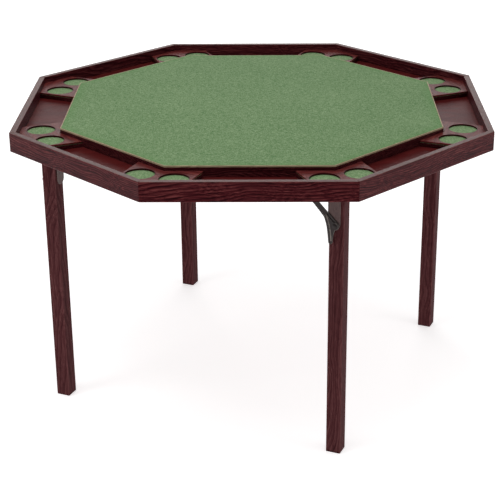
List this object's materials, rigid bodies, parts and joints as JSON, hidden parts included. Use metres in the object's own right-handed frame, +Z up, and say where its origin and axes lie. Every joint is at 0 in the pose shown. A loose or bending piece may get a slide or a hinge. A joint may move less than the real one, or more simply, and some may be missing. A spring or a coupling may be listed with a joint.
{
  "type": "folding card table",
  "caption": "Octagonal folding card table with a raised wooden rim, green felt playing surface, felt-lined coaster recesses, chip trays and braced square legs that fold flat.",
  "frame": {"origin": "on the floor under the middle of the table", "axes": "+Z up; +X along the front rail, to the right as the table is seen from the front; +Y from the front rail to the back rail"},
  "size_m": [1.22, 1.22, 0.762],
  "materials": {
    "stained_oak": "open-grained oak with a dark red-brown stain and a low satin lacquer",
    "stained_panel": "smooth plywood with a red-brown stain and a satin lacquer",
    "tray_floor": "smooth board with a red-brown stain, more orange than the rim",
    "pale_edge": "bare pale wood edge",
    "playing_felt": "mid-green woven playing cloth, matte",
    "coaster_felt": "brighter green felt, matte",
    "grey_steel": "pressed steel, dull grey-brown",
    "black_steel": "steel with a dark bronze-black finish"
  },
  "bodies": {
    "table_top": {"rail_back": "stained_oak", "rail_back_left": "stained_oak", "rail_left": "stained_oak", "rail_front_left": "stained_oak", "rail_front": "stained_oak", "rail_front_right": "stained_oak", "rail_right": "stained_oak", "rail_back_right": "stained_oak", "corner_panel_1": "stained_panel", "corner_panel_2": "stained_panel", "corner_panel_3": "stained_panel", "corner_panel_4": "stained_panel", "corner_panel_5": "stained_panel", "corner_panel_6": "stained_panel", "corner_panel_7": "stained_panel", "corner_panel_8": "stained_panel", "coaster_felt_1": "coaster_felt", "coaster_felt_2": "coaster_felt", "coaster_felt_3": "coaster_felt", "coaster_felt_4": "coaster_felt", "coaster_felt_5": "coaster_felt", "coaster_felt_6": "coaster_felt", "coaster_felt_7": "coaster_felt", "coaster_felt_8": "coaster_felt", "bottom_panel": "tray_floor", "tray_board": "stained_panel", "playing_frame": "stained_oak", "playing_panel": "pale_edge", "playing_felt": "playing_felt", "leg_bracket_right": "grey_steel", "leg_bracket_back": "grey_steel", "leg_bracket_left": "grey_steel", "leg_bracket_front": "grey_steel", "pivot_bolt_right": "black_steel", "pivot_bolt_back": "black_steel", "pivot_bolt_left": "black_steel", "pivot_bolt_front": "black_steel", "brace_track_right": "grey_steel", "brace_track_back": "grey_steel", "brace_track_left": "grey_steel", "brace_track_front": "grey_steel"},
    "leg_right": {"leg_right": "stained_oak", "leg_channel_right": "grey_steel"},
    "brace_right": {"brace_right": "black_steel"},
    "lock_lever_right": {"lock_lever_right": "black_steel"},
    "leg_back": {"leg_back": "stained_oak", "leg_channel_back": "grey_steel"},
    "brace_back": {"brace_back": "black_steel"},
    "lock_lever_back": {"lock_lever_back": "black_steel"},
    "leg_left": {"leg_left": "stained_oak", "leg_channel_left": "grey_steel"},
    "brace_left": {"brace_left": "black_steel"},
    "lock_lever_left": {"lock_lever_left": "black_steel"},
    "leg_front": {"leg_front": "stained_oak", "leg_channel_front": "grey_steel"},
    "brace_front": {"brace_front": "black_steel"},
    "lock_lever_front": {"lock_lever_front": "black_steel"}
  },
  "joints": [
    {"name": "fold_right", "type": "hinge", "parent": "table_top", "child": "leg_right", "pos_m": [0.51368, 0.21277, 0.697], "axis": [-0.9239, 0.3827, 0], "range_deg": [0, 90]},
    {"name": "brace_turn_right", "type": "hinge", "parent": "leg_right", "child": "brace_right", "pos_m": [0.51253, 0.21, 0.622], "axis": [0.9239, -0.3827, 0], "range_deg": [0, 131.1]},
    {"name": "lever_press_right", "type": "hinge", "parent": "brace_right", "child": "lock_lever_right", "pos_m": [0.51253, 0.21, 0.622], "axis": [0.9239, -0.3827, 0], "range_deg": [0, 12], "stiffness_Nm_per_rad": 0.3, "springref_deg": -17.19},
    {"name": "fold_back", "type": "hinge", "parent": "table_top", "child": "leg_back", "pos_m": [-0.21277, 0.51368, 0.697], "axis": [-0.3827, -0.9239, 0], "range_deg": [0, 90]},
    {"name": "brace_turn_back", "type": "hinge", "parent": "leg_back", "child": "brace_back", "pos_m": [-0.21, 0.51253, 0.622], "axis": [0.3827, 0.9239, 0], "range_deg": [0, 131.1]},
    {"name": "lever_press_back", "type": "hinge", "parent": "brace_back", "child": "lock_lever_back", "pos_m": [-0.21, 0.51253, 0.622], "axis": [0.3827, 0.9239, 0], "range_deg": [0, 12], "stiffness_Nm_per_rad": 0.3, "springref_deg": -17.19},
    {"name": "fold_left", "type": "hinge", "parent": "table_top", "child": "leg_left", "pos_m": [-0.51368, -0.21277, 0.697], "axis": [0.9239, -0.3827, 0], "range_deg": [0, 90]},
    {"name": "brace_turn_left", "type": "hinge", "parent": "leg_left", "child": "brace_left", "pos_m": [-0.51253, -0.21, 0.622], "axis": [-0.9239, 0.3827, 0], "range_deg": [0, 131.1]},
    {"name": "lever_press_left", "type": "hinge", "parent": "brace_left", "child": "lock_lever_left", "pos_m": [-0.51253, -0.21, 0.622], "axis": [-0.9239, 0.3827, 0], "range_deg": [0, 12], "stiffness_Nm_per_rad": 0.3, "springref_deg": -17.19},
    {"name": "fold_front", "type": "hinge", "parent": "table_top", "child": "leg_front", "pos_m": [0.21277, -0.51368, 0.697], "axis": [0.3827, 0.9239, 0], "range_deg": [0, 90]},
    {"name": "brace_turn_front", "type": "hinge", "parent": "leg_front", "child": "brace_front", "pos_m": [0.21, -0.51253, 0.622], "axis": [-0.3827, -0.9239, 0], "range_deg": [0, 131.1]},
    {"name": "lever_press_front", "type": "hinge", "parent": "brace_front", "child": "lock_lever_front", "pos_m": [0.21, -0.51253, 0.622], "axis": [-0.3827, -0.9239, 0], "range_deg": [0, 12], "stiffness_Nm_per_rad": 0.3, "springref_deg": -17.19}
  ],
  "couplings": [
    {"joint": "brace_turn_right", "follows": "fold_right", "ratio": 1.4564},
    {"joint": "brace_turn_back", "follows": "fold_back", "ratio": 1.4564},
    {"joint": "brace_turn_left", "follows": "fold_left", "ratio": 1.4564},
    {"joint": "brace_turn_front", "follows": "fold_front", "ratio": 1.4564}
  ]
}
